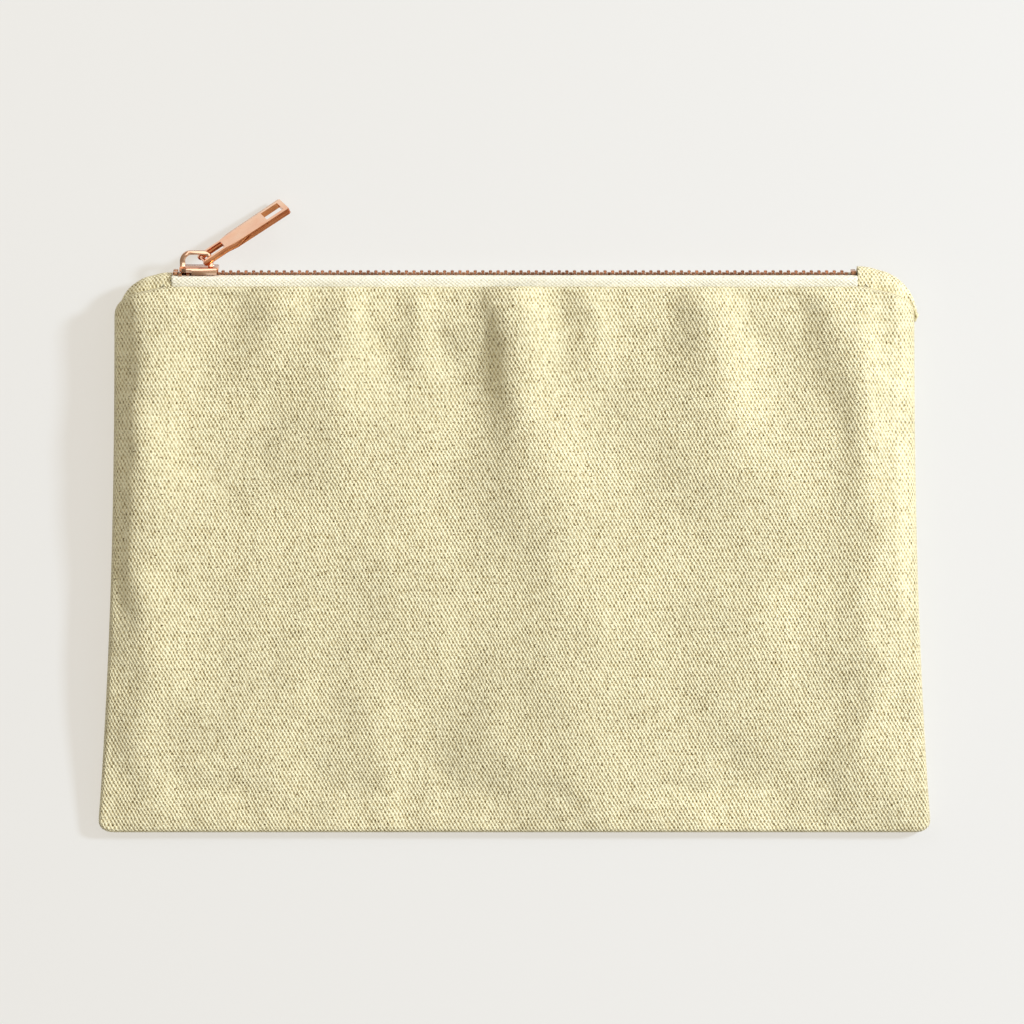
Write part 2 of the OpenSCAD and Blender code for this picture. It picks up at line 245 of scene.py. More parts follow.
def thicken(piece, thickness, rounds=1, offset=-1.0):
    """Gives a sheet its thickness, and rounds it first by subdivision."""
    if rounds:
        subdivision = piece.modifiers.new("Rounder", "SUBSURF")
        subdivision.levels = subdivision.render_levels = rounds
    solid = piece.modifiers.new("Thickness", "SOLIDIFY")
    solid.thickness = thickness * MM
    solid.offset = offset
    apply_modifiers(piece)


def count(piece):
    triangles = sum(len(face.vertices) - 2 for face in piece.data.polygons)
    print(f"{piece.name}: {len(piece.data.vertices)} points, {triangles} triangles")


# %% [markdown]
# ## Canvas
# The pouch is heavy cotton duck. Its warp threads are fine and close together,
# its weft is coarser, and what catches the light is a staggered pattern of
# knuckles where the warp passes over. The weave follows the cut of the cloth,
# so it reads a UV map in millimetres. Two diagonal waves, one a little stronger
# than the other, add up to the staggered knuckles, and noise makes threads
# thicker, thinner and darker. The heights drive the bump and also the colour,
# which is painted shade in the hollows and painted light on the knuckles; the
# stronger diagonal paints the shade that light from the upper right lays along
# it.
# A few brown flecks of seed husk are left in, as in any unbleached cotton.


# %% Node helpers
class Nodes:
    """Short ways to add and join nodes in one material."""

    def __init__(self, name):
        self.material = bpy.data.materials.new(name)
        self.material.use_nodes = True
        self.tree = self.material.node_tree
        self.shader = self.tree.nodes["Principled BSDF"]

    def add(self, kind, inputs=(), **settings):
        node = self.tree.nodes.new("ShaderNode" + kind)
        for key, value in settings.items():
            setattr(node, key, value)
        for key, value in dict(inputs).items():
            self.put(node.inputs[key], value)
        return node

    def put(self, socket, value):
        if isinstance(value, bpy.types.NodeSocket):
            self.tree.links.new(value, socket)
        else:
            socket.default_value = value

    def math(self, operation, a, b=0.0, clamp=False):
        node = self.add("Math", {0: a, 1: b}, operation=operation, use_clamp=clamp)
        return node.outputs[0]

    def noise(self, vector, scale, detail=2.0, rough=0.5):
        inputs = {"Vector": vector, "Scale": scale, "Detail": detail, "Roughness": rough}
        return self.add("TexNoise", inputs).outputs["Fac"]

    def mix(self, share, a, b):
        node = self.add("Mix", {0: share, 6: a, 7: b}, data_type="RGBA")
        return node.outputs[2]

    def scaled(self, vector, x, y, z=1.0):
        node = self.add("Mapping", {"Vector": vector, "Scale": (x, y, z)})
        return node.outputs["Vector"]

    def range(self, value, low, high, to_low=0.0, to_high=1.0):
        return self.add("MapRange", {0: value, 1: low, 2: high, 3: to_low, 4: to_high}).outputs[0]

    def bump(self, height, depth, strength=1.0):
        node = self.add("Bump", {"Strength": strength, "Distance": depth, "Height": height})
        self.tree.links.new(node.outputs["Normal"], self.shader.inputs["Normal"])

    def surface(self, **inputs):
        for key, value in inputs.items():
            self.put(self.shader.inputs[key.replace("_", " ")], value)


# %% Woven canvas
WARP_PITCH = 0.545
WEFT_PITCH = 0.943
WANDER = 0.9
# FALLING is stronger than RISING, so bump and colour favour one diagonal; in the colour that is painted
# shade from the upper-right light.
FALLING, RISING = 0.57, 0.43
KNUCKLE, UNEVEN, FUZZ, LOOSE = 0.5, 1.9, 1.3, 0.8
LOWEST, TOP = -1.35, 0.3
MIDDLE = 0.42
FLECK = (0.20, 0.14, 0.06, 1.0)


def woven(name, warp, weft, gap, low, high, depth, flecks=0.0):
    """A plain weave. gap, low and high are its colours from the hollows to the knuckles, painted shade
    in the hollows and painted light on the knuckles.
    """
    n = Nodes(name)
    cut = n.add("UVMap", uv_map="cut").outputs["UV"]
    wander = n.add("TexNoise", {"Vector": cut, "Scale": 0.22, "Detail": 2.0}).outputs["Color"]
    reach = (WANDER, WANDER, 0.0)
    moved = n.add("VectorMath", {0: wander, 1: reach}, operation="MULTIPLY").outputs[0]
    place = n.add("VectorMath", {0: cut, 1: moved}, operation="ADD").outputs[0]
    parts = n.add("SeparateXYZ", {0: place})
    x = n.math("DIVIDE", parts.outputs[0], warp)
    y = n.math("DIVIDE", parts.outputs[1], weft)
    falling = n.math("COSINE", n.math("MULTIPLY", n.math("ADD", x, y), math.pi))
    rising = n.math("COSINE", n.math("MULTIPLY", n.math("SUBTRACT", x, y), math.pi))
    height = n.math("ADD", n.math("MULTIPLY", falling, FALLING), n.math("MULTIPLY", rising, RISING))
    cell = n.add("CombineXYZ", {0: n.math("ROUND", x), 1: n.math("ROUND", y)}).outputs[0]
    knuckle = n.add("TexWhiteNoise", {"Vector": cell}, noise_dimensions="2D").outputs[0]
    yarn_x = n.noise(n.scaled(place, 1.8, 0.12), 1.0, 1.0)
    yarn_y = n.noise(n.scaled(place, 0.12, 1.1), 1.0, 1.0)
    uneven = n.math("ADD", n.math("MULTIPLY", yarn_x, 0.5), n.math("MULTIPLY", yarn_y, 0.5))
    fuzz = n.noise(place, 3.0, 3.0, 0.6)
    loose = n.noise(place, 0.5, 2.0)
    for part, weight in ((knuckle, KNUCKLE), (uneven, UNEVEN), (fuzz, FUZZ), (loose, LOOSE)):
        swing = n.math("MULTIPLY", n.math("SUBTRACT", part, 0.5), weight)
        height = n.math("ADD", height, swing)
    # The colour follows the height: painted shade in the hollows, painted light on the knuckles.
    painted_shade_tone = n.range(height, LOWEST, TOP)
    painted_shade_ramp = n.add("ValToRGB", {0: painted_shade_tone})
    painted_shade_ramp.color_ramp.elements[0].color = gap
    painted_shade_ramp.color_ramp.elements[1].color = high
    middle = painted_shade_ramp.color_ramp.elements.new(MIDDLE)
    middle.color = low
    colour = painted_shade_ramp.outputs[0]
    patch = n.noise(place, 0.035, 3.0, 0.55)
    shade = n.range(patch, 0.3, 0.7, 0.92, 1.06)
    shades = n.add("CombineXYZ", {0: shade, 1: shade, 2: shade}).outputs[0]
    colour = n.add("VectorMath", {0: colour, 1: shades}, operation="MULTIPLY").outputs[0]
    if flecks:
        speck = n.noise(n.scaled(place, 1.0, 1.5), 1.15, 1.0)
        here = n.range(speck, 1 - flecks, 1.02 - flecks)
        colour = n.mix(here, colour, FLECK)
    n.surface(Base_Color=colour, Roughness=0.93, Sheen_Weight=0.12, Sheen_Roughness=0.5)
    n.shader.inputs["Specular IOR Level"].default_value = 0.15
    n.bump(height, depth)
    return n.material


# Canvas colours: gap is painted shade in the weave's hollows, high is painted light on the knuckles.
canvas = woven(
    "canvas", WARP_PITCH, WEFT_PITCH,
    gap=(0.20, 0.145, 0.055, 1), low=(0.70, 0.60, 0.35, 1), high=(1.0, 0.95, 0.69, 1),
    depth=0.00017, flecks=0.31,
)
print("canvas: knuckles", WARP_PITCH, "by", WEFT_PITCH, "mm")

# %% [markdown]
# ## The front panel
# A sheet is laid as a grid inside the outline, lifted to the height of the
# pouch, and its rim is then rolled: along the sides and the bottom it turns
# down to the seam, and along the zip it folds right under itself as a hem.


# %% Laying a sheet in the outline
EDGE_R = 1.0
ROLL_STEPS = 4
HEM_R = 0.92
HEM_DEEP = 9.0
HEM_END = 4.0
HEM_BLEND = 8.0
UP = Vector((0, 0, 1))


def laid_sheet(columns, rows, inset, height):
    """A grid inside the outline, with its cut in the UV map. Rows crowd towards the zip."""
    bm = bmesh.new()
    bmesh.ops.create_grid(bm, x_segments=columns, y_segments=rows, size=0.5)
    low, high = BOTTOM_Y + inset, FOLD_Y - inset
    for vert in bm.verts:
        share = 0.5 + 0.55 * vert.co.y + 0.225 * math.sin(math.pi * vert.co.y)
        y = low + (high - low) * share
        scale = PANEL_H / (high - low)
        x = 2 * vert.co.x * (half_width(BOTTOM_Y + (y - low) * scale) - inset)
        vert.co = (x, y, height(x, y))
    bm.normal_update()
    if sum(face.normal.z for face in bm.faces) < 0:
        bmesh.ops.reverse_faces(bm, faces=bm.faces)
    return bm


def rim(bm):
    """Rim points with the way out of the sheet at each."""
    found = {}
    for vert in bm.verts:
        edges = [edge for edge in vert.link_edges if edge.is_boundary]
        if len(edges) == 2:
            a, b = (edge.other_vert(vert).co for edge in edges)
            run = b - a
            out = Vector((run.y, -run.x, 0)).normalized()
            around = [edge.other_vert(vert).co for edge in vert.link_edges]
            inside = sum(around, Vector()) / len(around)
            found[vert] = out if out.dot(vert.co - inside) > 0 else -out
    return found


def extrude_rim(bm, current, base):
    """Extrudes the running edge once, and gives each new point with the one it came from."""
    edges = [edge for edge in bm.edges if edge.is_boundary and all(v in current for v in edge.verts)]
    new = bmesh.ops.extrude_edge_only(bm, edges=edges)["geom"]
    pairs = []
    for vert in (item for item in new if isinstance(item, bmesh.types.BMVert)):
        linked = (edge.other_vert(vert) for edge in vert.link_edges)
        old = next(other for other in linked if other in current)
        base[vert] = base[old]
        pairs.append((vert, old))
    return pairs


def set_cut(bm, cut):
    """Writes the cut of the cloth, x and y in millimetres, as the UV map."""
    layer = bm.loops.layers.uv.new("cut")
    for face in bm.faces:
        for loop in face.loops:
            loop[layer].uv = cut[loop.vert] if loop.vert in cut else loop.vert.co.xy


def hem_share(point):
    """1 where the rim folds under as a hem, 0 where it turns down to the seam."""
    if point.y <= FOLD_Y - 2 * SHOULDER_H:
        return 0
    return min(max((RIM_HALF - HEM_END - abs(point.x)) / HEM_BLEND, 0), 1)


def front_sheet(columns, rows):
    bm = laid_sheet(columns, rows, EDGE_R, lambda x, y: puff_z(x, y) + gather(x, y))
    ways = rim(bm)
    tops = {vert: vert.co.copy() for vert in ways}
    cut = {vert: vert.co.xy for vert in bm.verts}
    base = {vert: vert for vert in ways}
    hem = {vert: hem_share(vert.co) for vert in ways}
    current = ways
    for step in range(1, ROLL_STEPS + 1):
        turn = math.pi / 2 * step / ROLL_STEPS
        onward = {}
        for vert, old in extrude_rim(bm, current, base):
            start = base[vert]
            top, way = tops[start], ways[start]
            drop = (top.z - SEAM_Z) * (1 - hem[start]) + HEM_R * hem[start]
            vert.co = top + way * EDGE_R * math.sin(turn) - UP * drop * (1 - math.cos(turn))
            cut[vert] = cut[old] + way.xy * math.hypot(EDGE_R, drop) * turn / 2
            onward[vert] = way
        current = onward
    return bm, cut, base, tops, ways, hem, current


def fold_hem(bm, cut, base, tops, ways, hem, current):
    """Carries the rolled edge on round and back under itself, along the zip only."""
    current = {vert: way for vert, way in current.items() if hem[base[vert]] > 0.98}
    lines = [(math.pi / 2 * (1 + step / 3), 0.0) for step in (1, 2, 3)]
    lines += [(math.pi, HEM_DEEP * share) for share in (0.12, 0.5, 1.0)]
    way = Vector((0, 1, 0))
    for turn, under in lines:
        onward = {}
        for vert, old in extrude_rim(bm, current, base):
            top = tops[base[vert]]
            sink = HEM_R * (1 - math.cos(turn))
            vert.co = top + way * (EDGE_R * math.sin(turn) - under) - UP * sink
            vert.co.z += puff_z(vert.co.x, top.y - under) - puff_z(vert.co.x, top.y)
            cut[vert] = cut[old] + Vector((0, 1.0 + under / 3))
            onward[vert] = way
        current = onward


bm, *rest = front_sheet(108, 74)
fold_hem(bm, *rest)
set_cut(bm, rest[0])
bm.verts.index_update()
bm.normal_update()
rim_points = set(rest[4]) | set(rest[1])
held = [vert.index for vert in bm.verts if vert in rim_points]
front_canvas = make_piece("front_canvas", bm)
print("front panel:", len(front_canvas.data.vertices), "points,", len(held), "held")

# %% [markdown]
# ## Letting the cloth settle
# A drawn surface is too even to pass for cloth. The sheet is handed to the
# cloth solver with its seams and hem held, a breath of air inside and a little
# spare length, so it buckles and eases as canvas does. How far a point may move
# is capped, because the panel has to stay in the pouch's own space.


# %% Cloth settling
def settle(piece, held, frames=18, spare=0.004, pressure=1.2, cap=1.6):
    start = [vert.co.copy() for vert in piece.data.vertices]
    group = piece.vertex_groups.new(name="held")
    group.add(held, 1.0, "REPLACE")
    cloth = piece.modifiers.new("Cloth", "CLOTH")
    cloth.settings.quality = 6
    cloth.settings.mass = 0.15
    cloth.settings.tension_stiffness = 25
    cloth.settings.compression_stiffness = 25
    cloth.settings.shear_stiffness = 12
    cloth.settings.bending_stiffness = 4
    cloth.settings.vertex_group_mass = "held"
    cloth.settings.shrink_min = -spare
    cloth.settings.use_pressure = True
    cloth.settings.uniform_pressure_force = pressure
    cloth.settings.effector_weights.gravity = 0
    cloth.collision_settings.use_collision = False
    cloth.point_cache.frame_end = frames
    scene = bpy.context.scene
    for step in range(1, frames + 1):
        scene.frame_set(step)
    apply_modifiers(piece)
    scene.frame_set(1)
    furthest = 0
    for vert, place in zip(piece.data.vertices, start):
        move = vert.co - place
        if move.length > cap * MM:
            vert.co = place + move * (cap * MM / move.length)
        furthest = max(furthest, move.length)
    piece.vertex_groups.clear()
    print(f"{piece.name}: settled, furthest move {furthest / MM:.2f} mm")


settle(front_canvas, held)
thicken(front_canvas, CANVAS_T)
front_canvas.data.materials.append(canvas)
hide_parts("front_panel")
count(front_canvas)

# %% [markdown]
# ## The back panel
# The back lies on the table, so it is flat in the middle, and only its rim
# rolls up to meet the front at the seam.


# %% Back panel
BACK_RISE = SEAM_Z - 0.15
BACK_STEP = 0.55


def back_sheet(columns, rows):
    bm = laid_sheet(columns, rows, EDGE_R, lambda x, y: 0.0)
    bmesh.ops.reverse_faces(bm, faces=bm.faces)
    ways = rim(bm)
    tops = {vert: vert.co.copy() for vert in ways}
    cut = {vert: vert.co.xy for vert in bm.verts}
    current, base = ways, {vert: vert for vert in ways}
    for step in range(1, ROLL_STEPS + 1):
        turn = math.pi / 2 * step / ROLL_STEPS
        onward = {}
        for vert, old in extrude_rim(bm, current, base):
            way = ways[base[vert]]
            rise = BACK_RISE * (1 - math.cos(turn))
            vert.co = tops[base[vert]] + way * EDGE_R * math.sin(turn) + UP * rise
            cut[vert] = cut[old] + way.xy * BACK_STEP
            onward[vert] = way
        current = onward
    set_cut(bm, cut)
    return bm


back_canvas = make_piece("back_canvas", back_sheet(72, 48))
thicken(back_canvas, CANVAS_T)
back_canvas.data.materials.append(canvas)
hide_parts("back_panel")
count(back_canvas)

# %% [markdown]
# ## Linings
# Inside each panel lies a thin cotton lining. It is only seen through an open
# mouth, so a plain laid sheet is enough, a little smaller than its panel.

# %% Both linings
# Its gap colour is painted shade in the weave's hollows, its high colour painted light on the knuckles.
lining = woven(
    "lining", 0.4, 0.42,
    gap=(0.50, 0.47, 0.36, 1), low=(0.74, 0.71, 0.60, 1), high=(0.92, 0.90, 0.80, 1), depth=0.00006,
)
LINING_IN = 12.0
LINING_T = 0.35
LINING_UNDER = 2.6
LINING_LOW = 3.2
BACK_LINING_Z = 1.4


def lining_piece(name, node, height):
    bm = laid_sheet(60, 40, LINING_IN, height)
    set_cut(bm, {})
    piece = make_piece(name, bm)
    thicken(piece, LINING_T, rounds=0)
    piece.data.materials.append(lining)
    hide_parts(node)
    count(piece)
    return piece


def front_lining_z(x, y):
    return max(puff_z(x, y) + gather(x, y) - LINING_UNDER, LINING_LOW)


front_lining = lining_piece("front_lining_cloth", "front_lining", front_lining_z)
back_lining = lining_piece("back_lining_cloth", "back_lining", lambda x, y: BACK_LINING_Z)

# %% [markdown]
# ## End tabs
# Each end of the zip is capped by a scrap of the same canvas, folded over it
# and sewn into the side seam. It slopes from the zip down to the pouch's
# corner. The cap is a sheet bent round its nose: one way along the grid goes
# over the top, round the nose and back underneath, the other runs out to the
# corner, where it closes down.

# %% Tab sizes
ZIP_HALF = 98.6
TAB_TOP = 12.2
TAB_BOTTOM = 2.1
TAB_DIP = 2.2
TAB_FALL = 1.8
TAB_NOSE_Y = {-1: 80.5, 1: 82.2}
TAB_LOW_Y = 66.4
TAB_REACH = {-1: 15.8, 1: 17.6}
TAB_END = 0.985
TAB_POWER = 0.8
UNDER_PANEL = 1.9
TAB_CREASE = 0.22


# %% Tab sheets
def tab_sheet(side):
    bm = bmesh.new()
    bmesh.ops.create_grid(bm, x_segments=18, y_segments=30, size=0.5)
    cut = {}
    for vert in bm.verts:
        out, round_ = vert.co.x + 0.5, vert.co.y + 0.5
        angle = math.acos(min(out * TAB_END, 1))
        x = ZIP_HALF + TAB_REACH[side] * out * TAB_END
        nose = TAB_LOW_Y + (TAB_NOSE_Y[side] - TAB_LOW_Y) * math.sin(angle) ** TAB_POWER
        top = min(TAB_TOP, puff_z(x, FOLD_Y) - UNDER_PANEL - TAB_FALL * out)
        r = max((top - TAB_BOTTOM) / 2, 0.5)
        straight = max(nose - r - TAB_LOW_Y, 0.2)
        length = 2 * straight + math.pi * r
        along = round_ * length
        if along < straight:
            dip = TAB_DIP * (1 - along / straight) * min(out * 3, 1)
            y, z = TAB_LOW_Y + along, TAB_BOTTOM + 2 * r - dip
        elif along > straight + math.pi * r:
            y, z = TAB_LOW_Y + length - along, TAB_BOTTOM
        else:
            turn = (along - straight) / r
            y = TAB_LOW_Y + straight + r * math.sin(turn)
            z = TAB_BOTTOM + r + r * math.cos(turn)
        crease = TAB_CREASE * noise.noise(Vector((x / 3.2, along / 5, side * 4.0)))
        cut[vert] = Vector((side * x, along))
        vert.co = (side * x, y + crease, z + crease)
    bm.normal_update()
    middle = Vector((side * (ZIP_HALF + 8), 70, 7))
    if sum((face.calc_center_median() - middle).dot(face.normal) for face in bm.faces) < 0:
        bmesh.ops.reverse_faces(bm, faces=bm.faces)
    set_cut(bm, cut)
    return bm


for side, end in ((-1, "left"), (1, "right")):
    tab = make_piece(end + "_tab_canvas", tab_sheet(side))
    thicken(tab, CANVAS_T)
    tab.data.materials.append(canvas)
    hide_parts(end + "_end_tab")
    count(tab)

# %% [markdown]
# ## The chain's own directions
# The zip leans towards the front panel by 12 degrees. Everything on it is drawn
# upright and then put on the chain: along the zip, out of the pouch, and
# towards the front.

# %% Placing things on the chain
CHAIN_Y = 79.8
CHAIN_Z = 8.0
TILT = math.radians(12)


def chain_point(out, front):
    """Y and Z of a point so far out of the pouch and to the front of the chain's middle."""
    y = CHAIN_Y + out * math.cos(TILT) - front * math.sin(TILT)
    z = CHAIN_Z + out * math.sin(TILT) + front * math.cos(TILT)
    return Vector((y, z))


ON_CHAIN = Matrix.Translation((0, CHAIN_Y, CHAIN_Z)) @ Matrix.Rotation(TILT, 4, "X")
print("chain's middle:", tuple(chain_point(0, 0)))

# %% [markdown]
# ## Zip tapes
# The tape is a narrow cream ribbon with a fine rib along it. One tape stands in
# the front teeth, bends over and goes under the front hem, the other does the
# same at the back. A rib is so fine that it stays in the material.

# %% Tape ribbon
TAPE_T = 0.45
TAPE_GAP = 0.35
FRONT_LAYERS = 1.8
BACK_LAYERS = 1.9
TAPE_TURN = FOLD_Y - 0.8
TAPE_END = FOLD_Y - 11.5
HEM_Z = puff_z(0, FOLD_Y) - FRONT_LAYERS - TAPE_GAP - TAPE_T / 2
HEM_LOW_Z = puff_z(0, TAPE_END) - FRONT_LAYERS - TAPE_GAP - TAPE_T / 2
BACK_HEM_Z = BACK_LAYERS + TAPE_GAP + TAPE_T / 2
IN_TEETH = 1.525
OUT_FRONT = 4.55
DROP_BACK = -3.1
CORNER_REACH = 0.9
TAPE_WAVE = 0.12

# Its gap colour is painted shade in the weave's hollows, its high colour painted light on the knuckles.
tape = woven(
    "zip_tape", 0.62, 0.5,
    gap=(0.72, 0.69, 0.54, 1), low=(0.93, 0.90, 0.76, 1), high=(1.0, 0.99, 0.90, 1), depth=0.00008,
)


def tape_sheet(route):
    """A ribbon whose section follows the route, with its corners rounded off."""
    points = [route[0]]
    for before, corner, after in zip(route, route[1:], route[2:]):
        reach = min(CORNER_REACH, (corner - before).length / 2.2, (after - corner).length / 2.2)
        a = corner + (before - corner).normalized() * reach
        b = corner + (after - corner).normalized() * reach
        points += [a, (a + b) / 4 + corner / 2, b]
    points.append(route[-1])
    bm = bmesh.new()
    bmesh.ops.create_grid(bm, x_segments=150, y_segments=len(points) - 1, size=0.5)
    rows = sorted({round(vert.co.y, 4) for vert in bm.verts})
    lengths = [0.0]
    for a, b in zip(points, points[1:]):
        lengths.append(lengths[-1] + (b - a).length)
    cut = {}
    for vert in bm.verts:
        row = min(range(len(rows)), key=lambda i: abs(rows[i] - vert.co.y))
        x = 2 * vert.co.x * (ZIP_HALF - 0.1)
        y, z = points[row]
        wave = TAPE_WAVE * noise.noise(Vector((x / 9, row / 3, 1.5))) * min(row / 4, 1)
        cut[vert] = Vector((x, lengths[row]))
        vert.co = (x, y, z + wave)
    set_cut(bm, cut)
    return bm, lengths[-1]


front_route = [chain_point(0, IN_TEETH), chain_point(0, OUT_FRONT), chain_point(DROP_BACK, OUT_FRONT)]
front_route += [Vector((TAPE_TURN, HEM_Z)), Vector((TAPE_END, HEM_LOW_Z))]
back_route = [chain_point(0, -IN_TEETH), chain_point(0, -OUT_FRONT), chain_point(DROP_BACK, -OUT_FRONT)]
back_route += [Vector((TAPE_TURN, BACK_HEM_Z)), Vector((TAPE_END, BACK_HEM_Z))]

for layer, route in (("front", front_route), ("back", back_route)):
    bm, tape_width = tape_sheet(route)
    ribbon = make_piece(layer + "_tape_ribbon", bm)
    thicken(ribbon, TAPE_T, offset=0.0)
    ribbon.data.materials.append(tape)
    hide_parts(layer + "_zip_tape")
    count(ribbon)

# %% [markdown]
# ## Rose-gold metal
# Teeth, stops, slider and pull tab are plated zinc in rose gold. It is a
# polished metal, so most of its look is what it reflects. Fine noise breaks the
# roughness up, and a slow one warms and cools the colour as plating does. The
# sides of the slider and the pull tab take a darker copper than their faces,
# as painted shade on the sides.


# %% Plated metal
def plated(name, colour, worn, roughness, grain):
    n = Nodes(name)
    where = n.add("TexCoord").outputs["Object"]
    slow = n.noise(where, 160.0, 3.0)
    fine = n.noise(where, 2600.0, 3.0, 0.6)
    shade = n.mix(n.range(slow, 0.35, 0.7), colour, worn)
    gloss = n.range(fine, 0.3, 0.75, roughness * 0.7, roughness * 1.5)
    n.surface(Base_Color=shade, Metallic=1.0, Roughness=gloss)
    n.bump(fine, grain, 0.6)
    return n.material


FACE, FACE_WORN = (1.0, 0.68, 0.50, 1), (0.95, 0.55, 0.38, 1)
SIDE_SHADE, SIDE_SHADE_WORN = (0.78, 0.34, 0.16, 1), (0.50, 0.16, 0.07, 1)
TOOTH, TOOTH_WORN = (0.66, 0.35, 0.21, 1), (0.30, 0.13, 0.07, 1)
bright_metal = plated("rose_gold_bright", FACE, FACE_WORN, 0.09, 0.000006)
# The side metal is painted shade: a darker copy of the face metal for the sides of the slider and the
# pull tab.
side_shade_metal = plated("rose_gold_painted_side_shade", SIDE_SHADE, SIDE_SHADE_WORN, 0.14, 0.000006)
teeth_metal = plated("rose_gold_teeth", TOOTH, TOOTH_WORN, 0.2, 0.00002)

# %% [markdown]
# ## Teeth
# A tooth is a clamp squeezed round the tape's edge, with a narrower head that
# goes between its neighbours across the zip. One tooth is drawn from two blocks
# with their edges bevelled, and then copied along the tape every 2.2 mm. Near
# the left end, past the slider, the rows part tooth by tooth.

# %% Tooth sizes
PITCH = 2.2
TOOTH_T = 0.95
TOOTH_H = 2.0
STOP_L = 1.4
SLIDER_X = -90.7
WEDGE_TIP = -2.95
FIRST_STEP, STEP_SLOPE, WIDEST = 0.87, 0.72, 1.85
GRIP_LOW, GRIP_HIGH, GRIP_IN, GRIP_BEVEL = 0.95, 2.3, 0.26, 0.16
HEAD_LOW, HEAD_HIGH, HEAD_HALF, HEAD_BEVEL = -0.75, 1.3, 0.64, 0.2
FIRST_TOOTH = -ZIP_HALF + STOP_L + 1.2
LAST_TOOTH = ZIP_HALF - STOP_L - 1


def parting(x):
    """How far a tooth x from the slider's middle is pushed aside."""
    start = WEDGE_TIP + TOOTH_T / 2
    return 0 if x > start else min(FIRST_STEP + (start - x) * STEP_SLOPE, WIDEST)


def block(bm, low, high, bevel):
    """A box between two corners with bevelled edges."""
    size = Vector(high) - Vector(low)
    middle = (Vector(high) + Vector(low)) / 2
    place = Matrix.Translation(middle) @ Matrix.Diagonal((*size, 1))
    cube = bmesh.ops.create_cube(bm, size=1.0, matrix=place)
    edges = {edge for vert in cube["verts"] for edge in vert.link_edges}
    bmesh.ops.bevel(
        bm, geom=list(edges), offset=bevel, segments=1, profile=0.5, affect="EDGES", material=-1
    )


def tooth():
    bm = bmesh.new()
    half = TOOTH_T / 2
    for side in (-1, 1):
        low, high = sorted((side * GRIP_IN, side * TOOTH_H / 2))
        block(bm, (-half, low, GRIP_LOW), (half, high, GRIP_HIGH), GRIP_BEVEL)
    block(bm, (-half, -HEAD_HALF, HEAD_LOW), (half, HEAD_HALF, HEAD_HIGH), HEAD_BEVEL)
    return bm


def tooth_row(name, node, first, side):
    one = bpy.data.meshes.new("one_tooth")
    single = tooth()
    single.to_mesh(one)
    single.free()
    bm = bmesh.new()
    x, number = first, 0
    while x < LAST_TOOTH:
        bm.from_mesh(one)
        bm.verts.ensure_lookup_table()
        new = bm.verts[number * len(one.vertices):]
        for vert in new:
            aside = vert.co.z + parting(x - SLIDER_X)
            vert.co = Vector((vert.co.x + x, vert.co.y, side * aside))
        x += PITCH
        number += 1
    if side < 0:
        bmesh.ops.reverse_faces(bm, faces=bm.faces)
    bmesh.ops.transform(bm, matrix=ON_CHAIN, verts=bm.verts)
    row = make_piece(name, bm, smooth=False)
    row.data.materials.append(teeth_metal)
    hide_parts(node)
    print(name, number, "teeth")
    return row


front_row = tooth_row("front_tooth_row", "front_teeth", FIRST_TOOTH, 1)
back_row = tooth_row("back_tooth_row", "back_teeth", FIRST_TOOTH + PITCH / 2, -1)

# %% [markdown]
# ## Slider, pull tab and stops
# These are small castings with crisp faces and slightly rounded edges. Their
# shapes are already exact in the frame, so each is taken from there, its loose
# triangles are joined into whole faces, and its edges are bevelled, because a
# dead sharp edge never catches the light as a cast one does.


# %% Castings
BEVEL_STEPS = 2
PULL_TURNS = ((32, "Z"), (15, "Y"), (115, "X"))
FACE_SHARE = 0.55


def casting(name, node, body, bevel, metal, face_way=None):
    """A rounded copy of a frame node. Faces turned away from face_way take the darker metal, painted
    shade.
    """
    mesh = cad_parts[node].data.copy()
    bm = bmesh.new()
    bm.from_mesh(mesh)
    bmesh.ops.remove_doubles(bm, verts=bm.verts, dist=0.002 * MM)
    bmesh.ops.dissolve_limit(bm, angle_limit=math.radians(1), verts=bm.verts, edges=bm.edges)
    for vert in bm.verts:
        vert.co /= MM
    piece = make_piece(name, bm, body)
    rounded = piece.modifiers.new("Edges", "BEVEL")
    rounded.width = bevel * MM
    rounded.segments = BEVEL_STEPS
    rounded.limit_method = "ANGLE"
    rounded.angle_limit = math.radians(28)
    rounded.harden_normals = False
    apply_modifiers(piece)
    piece.data.set_sharp_from_angle(angle=math.radians(38))
    piece.data.materials.clear()
    piece.data.materials.append(metal)
    # Faces turned away from face_way get the side metal, which is painted shade.
    if face_way:
        piece.data.materials.append(side_shade_metal)
        for face in piece.data.polygons:
            face.material_index = int(abs(face.normal.dot(face_way)) < FACE_SHARE)
    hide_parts(node)
    count(piece)
    return piece


plate_turn = ON_CHAIN.to_3x3()
for angle, axis in PULL_TURNS:
    plate_turn = plate_turn @ Matrix.Rotation(math.radians(angle), 3, axis)
plate_way = plate_turn @ UP
casting("slider_casting", "slider_body", "slider", 0.12, bright_metal, UP)
casting("pull_plate", "pull_tab", "pull", 0.07, bright_metal, plate_way)
for end in ("front_top", "back_top", "bottom"):
    casting(end + "_clip", end + "_stop", "pouch", 0.12, teeth_metal)

# %% [markdown]
# ## Threads
# The seams are sewn from inside, so their threads are hidden in the cloth. They
# stay as the frame has them, with a twisted cotton finish.

# %% Thread finish
TWIST = {"Scale": 900.0, "Distortion": 2.0}
THREAD_DARK, THREAD_PALE = (0.72, 0.66, 0.46, 1), (0.93, 0.88, 0.70, 1)
n = Nodes("sewing_thread")
where = n.add("TexCoord").outputs["Object"]
twist = n.add("TexWave", {"Vector": where, **TWIST}, bands_direction="DIAGONAL").outputs["Fac"]
shade = n.mix(twist, THREAD_DARK, THREAD_PALE)
n.surface(Base_Color=shade, Roughness=0.75, Sheen_Weight=0.2)
n.bump(twist, 0.00003)
threads = [node for name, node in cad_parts.items() if name.endswith("_thread")]
for node in threads:
    node.data.materials.clear()
    node.data.materials.append(n.material)
print(len(threads), "threads")
